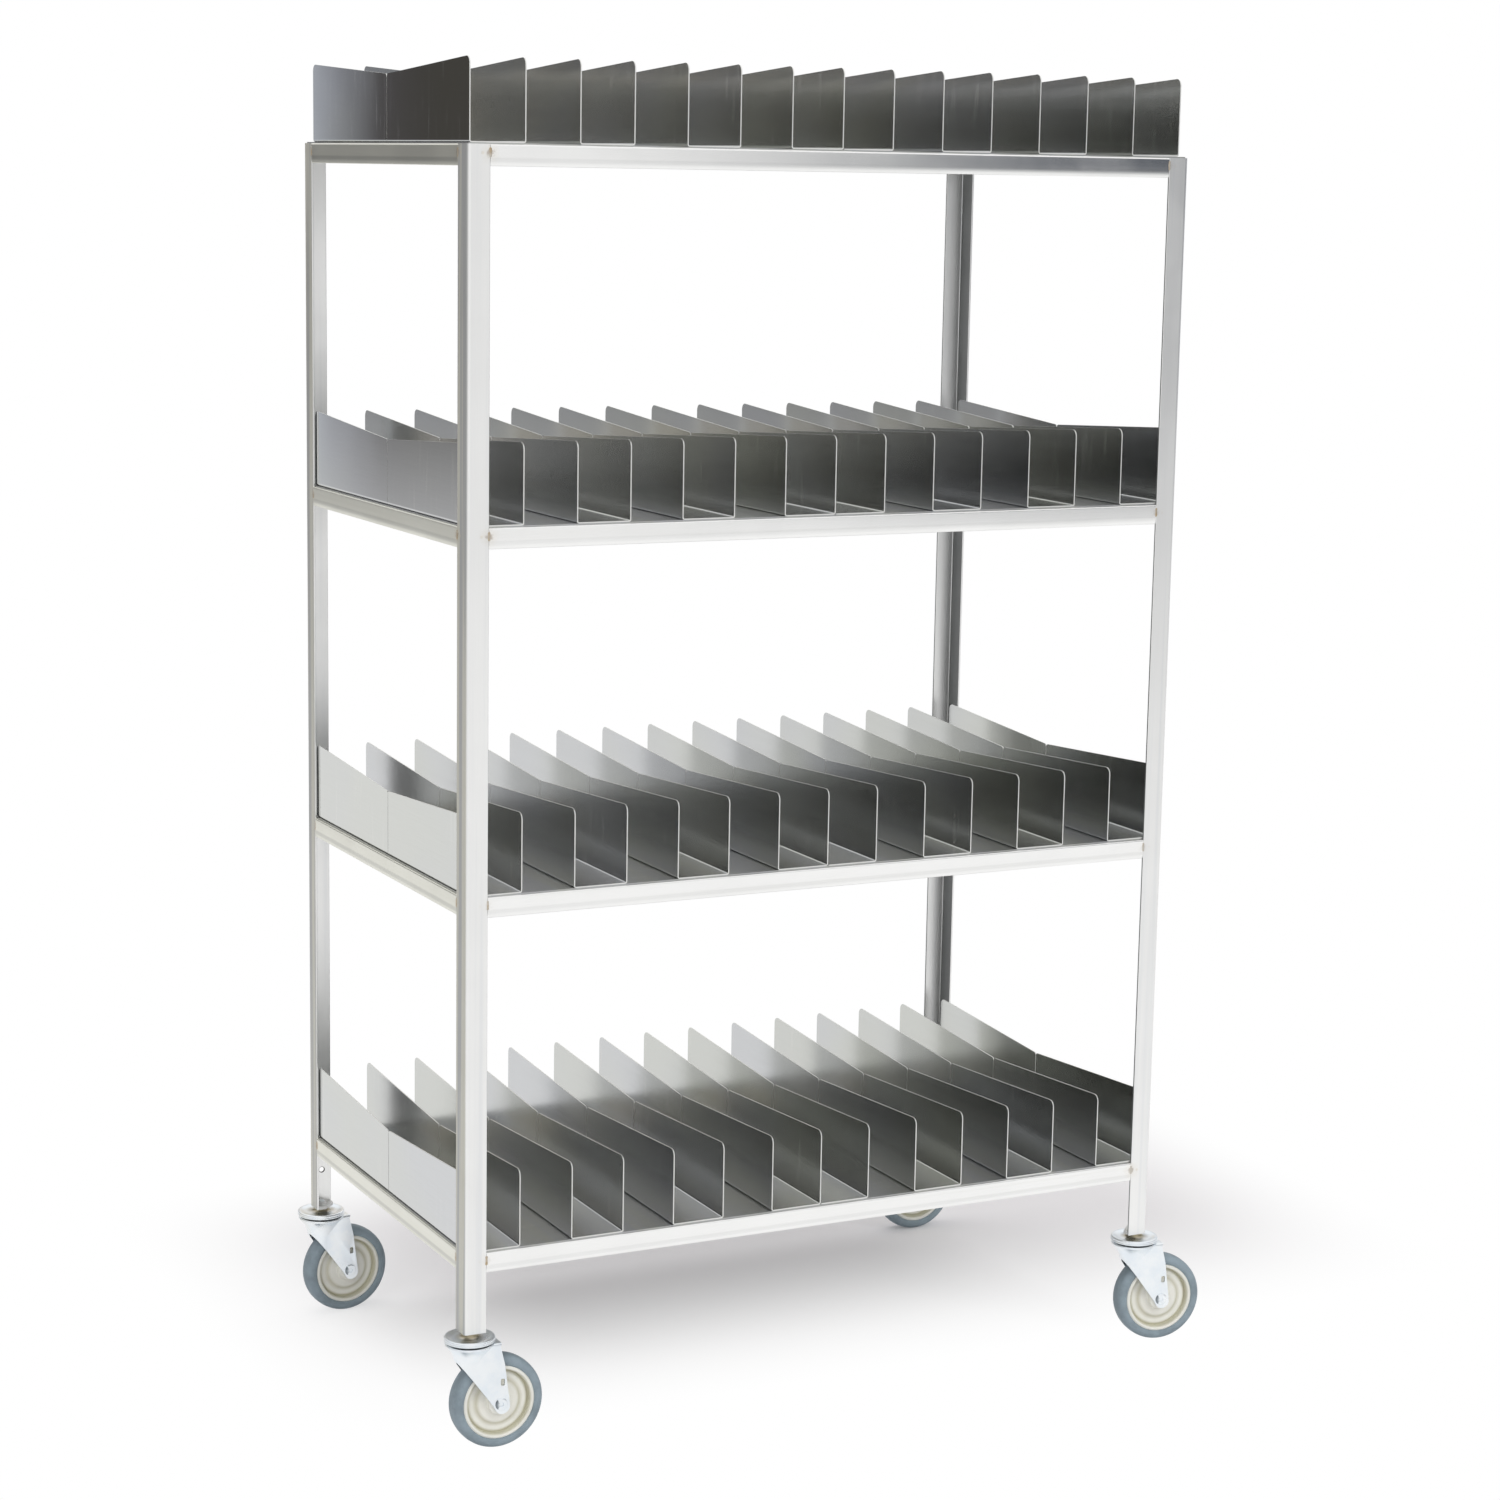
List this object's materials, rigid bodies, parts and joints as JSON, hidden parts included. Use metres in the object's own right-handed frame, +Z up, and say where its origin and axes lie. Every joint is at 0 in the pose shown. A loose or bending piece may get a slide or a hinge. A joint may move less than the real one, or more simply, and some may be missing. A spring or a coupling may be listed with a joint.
{
  "type": "tray drying rack",
  "caption": "Open upright rack of welded angle on swivel casters, with slotted shelves of folded sheet walls that hold serving trays on edge to dry.",
  "frame": {"origin": "on the floor, under the middle of the box around the whole rack with its casters as they stand", "axes": "+Z up, +X along the long front towards the right as seen from the front, +Y from the front to the rear"},
  "size_m": [1.17, 0.651, 1.8001],
  "materials": {
    "frame_angle": "brushed mill finish",
    "shelf_sheet": "bright mill finish sheet",
    "caster_plate": "bright zinc plate",
    "fasteners": "zinc plate",
    "wheel_core": "moulded, satin",
    "wheel_tyre": "soft grey rubber"
  },
  "bodies": {
    "frame": {"caster_stem_front_left": "caster_plate", "caster_stem_front_right": "caster_plate", "caster_stem_rear_left": "caster_plate", "caster_stem_rear_right": "caster_plate", "foot_plates": "frame_angle", "post_front_left": "frame_angle", "post_front_right": "frame_angle", "post_rear_left": "frame_angle", "post_rear_right": "frame_angle", "shelf_1_front_channels": "shelf_sheet", "shelf_1_front_rail": "frame_angle", "shelf_1_left_rail": "frame_angle", "shelf_1_rear_channels": "shelf_sheet", "shelf_1_rear_rail": "frame_angle", "shelf_1_right_rail": "frame_angle", "shelf_1_sheet": "shelf_sheet", "shelf_2_front_channels": "shelf_sheet", "shelf_2_front_rail": "frame_angle", "shelf_2_left_rail": "frame_angle", "shelf_2_rear_channels": "shelf_sheet", "shelf_2_rear_rail": "frame_angle", "shelf_2_right_rail": "frame_angle", "shelf_2_sheet": "shelf_sheet", "shelf_3_front_channels": "shelf_sheet", "shelf_3_front_rail": "frame_angle", "shelf_3_left_rail": "frame_angle", "shelf_3_rear_channels": "shelf_sheet", "shelf_3_rear_rail": "frame_angle", "shelf_3_right_rail": "frame_angle", "shelf_3_sheet": "shelf_sheet", "shelf_4_front_channels": "shelf_sheet", "shelf_4_front_rail": "frame_angle", "shelf_4_left_rail": "frame_angle", "shelf_4_rear_channels": "shelf_sheet", "shelf_4_rear_rail": "frame_angle", "shelf_4_right_rail": "frame_angle", "shelf_4_sheet": "shelf_sheet", "stem_nuts": "fasteners", "swivel_balls": "fasteners"},
    "swivel_front_left": {"caster_fork_front_left": "caster_plate", "axle_bolt_front_left": "fasteners", "axle_nut_front_left": "fasteners"},
    "wheel_front_left": {"wheel_core_front_left": "wheel_core", "wheel_tyre_front_left": "wheel_tyre"},
    "swivel_front_right": {"caster_fork_front_right": "caster_plate", "axle_bolt_front_right": "fasteners", "axle_nut_front_right": "fasteners"},
    "wheel_front_right": {"wheel_core_front_right": "wheel_core", "wheel_tyre_front_right": "wheel_tyre"},
    "swivel_rear_right": {"caster_fork_rear_right": "caster_plate", "axle_bolt_rear_right": "fasteners", "axle_nut_rear_right": "fasteners"},
    "wheel_rear_right": {"wheel_core_rear_right": "wheel_core", "wheel_tyre_rear_right": "wheel_tyre"},
    "swivel_rear_left": {"caster_fork_rear_left": "caster_plate", "axle_bolt_rear_left": "fasteners", "axle_nut_rear_left": "fasteners"},
    "wheel_rear_left": {"wheel_core_rear_left": "wheel_core", "wheel_tyre_rear_left": "wheel_tyre"}
  },
  "joints": [
    {"name": "front_left_swivel", "type": "hinge", "parent": "frame", "child": "swivel_front_left", "pos_m": [-0.55058, -0.2915, 0.157], "axis": [0, 0, 1], "continuous": true},
    {"name": "front_left_wheel_spin", "type": "hinge", "parent": "swivel_front_left", "child": "wheel_front_left", "pos_m": [-0.51358, -0.2915, 0.0635], "axis": [0, 1, 0], "continuous": true},
    {"name": "front_right_swivel", "type": "hinge", "parent": "frame", "child": "swivel_front_right", "pos_m": [0.48442, -0.2915, 0.157], "axis": [0, 0, 1], "continuous": true},
    {"name": "front_right_wheel_spin", "type": "hinge", "parent": "swivel_front_right", "child": "wheel_front_right", "pos_m": [0.52086, -0.29792, 0.0635], "axis": [0.1736, 0.9848, 0], "continuous": true},
    {"name": "rear_right_swivel", "type": "hinge", "parent": "frame", "child": "swivel_rear_right", "pos_m": [0.48442, 0.2915, 0.157], "axis": [0, 0, 1], "continuous": true},
    {"name": "rear_right_wheel_spin", "type": "hinge", "parent": "swivel_rear_right", "child": "wheel_rear_right", "pos_m": [0.44742, 0.2915, 0.0635], "axis": [0, -1, 0], "continuous": true},
    {"name": "rear_left_swivel", "type": "hinge", "parent": "frame", "child": "swivel_rear_left", "pos_m": [-0.55058, 0.2915, 0.157], "axis": [0, 0, 1], "continuous": true},
    {"name": "rear_left_wheel_spin", "type": "hinge", "parent": "swivel_rear_left", "child": "wheel_rear_left", "pos_m": [-0.51378, 0.29537, 0.0635], "axis": [-0.1045, 0.9945, 0], "continuous": true}
  ]
}
